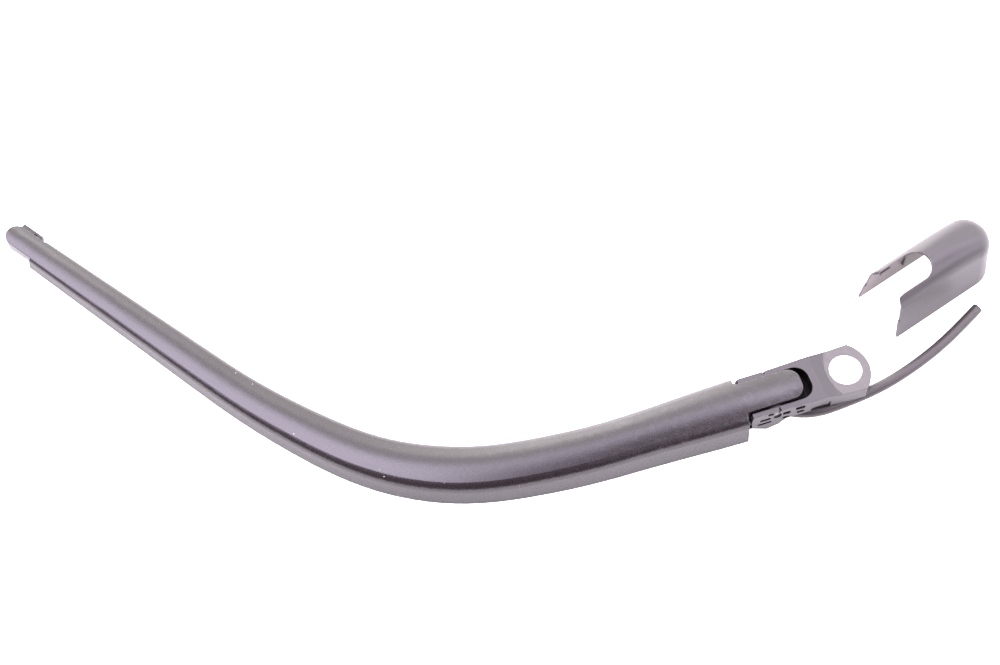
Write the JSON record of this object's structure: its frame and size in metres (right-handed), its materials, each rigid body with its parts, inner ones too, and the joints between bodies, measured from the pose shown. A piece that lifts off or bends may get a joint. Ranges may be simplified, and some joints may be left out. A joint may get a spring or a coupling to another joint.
{
  "type": "wiper arm",
  "caption": "Windscreen wiper arm with a bent pressed channel, a hinged die-cast mounting head, a washer hose and a slotted nut cap taken off beside it.",
  "frame": {"origin": "on the spindle axis, at the face of the mounting head that the nut sits on", "axes": "+Z along the spindle, away from the windscreen; the arm's straight part lies along -X from the hinge; +Y is the side that the arm bends to"},
  "size_m": [0.4706, 0.2321, 0.032],
  "materials": {
    "satin_black_paint": "satin black paint over pressed steel",
    "cast_black_paint": "satin black coating over a zinc die casting",
    "zinc_plated_steel": "zinc plated",
    "spring_steel": "oiled spring wire",
    "bush_plastic": "natural moulded plastic",
    "black_plastic": "fine grained moulded black plastic",
    "black_rubber": "smooth extruded rubber"
  },
  "bodies": {
    "head": {"mounting_head": "cast_black_paint", "hinge_pin": "zinc_plated_steel", "hinge_washer_near": "bush_plastic", "hinge_washer_far": "bush_plastic", "spring_pin": "zinc_plated_steel", "nut_cap": "black_plastic"},
    "arm": {"wiper_arm": "satin_black_paint", "hinge_bush_near": "bush_plastic", "hinge_bush_far": "bush_plastic", "spring_anchor": "zinc_plated_steel", "spray_nozzle": "black_plastic", "hose_clip": "black_plastic", "washer_hose": "black_rubber"},
    "hook": {"spring_hook": "zinc_plated_steel", "tension_spring": "spring_steel"}
  },
  "joints": [
    {"name": "arm_fold", "type": "hinge", "parent": "head", "child": "arm", "pos_m": [-0.04, 0, -0.003], "axis": [0, 1, 0], "range_deg": [0, 60], "stiffness_Nm_per_rad": 2, "springref_deg": -85.94, "deforming": ["tension_spring"]},
    {"name": "hook_swing", "type": "hinge", "parent": "head", "child": "hook", "pos_m": [-0.04, 0, -0.0098], "axis": [0, 1, 0], "range_deg": [0, 58]}
  ],
  "couplings": [
    {"joint": "hook_swing", "follows": "arm_fold", "ratio": 0.965}
  ]
}
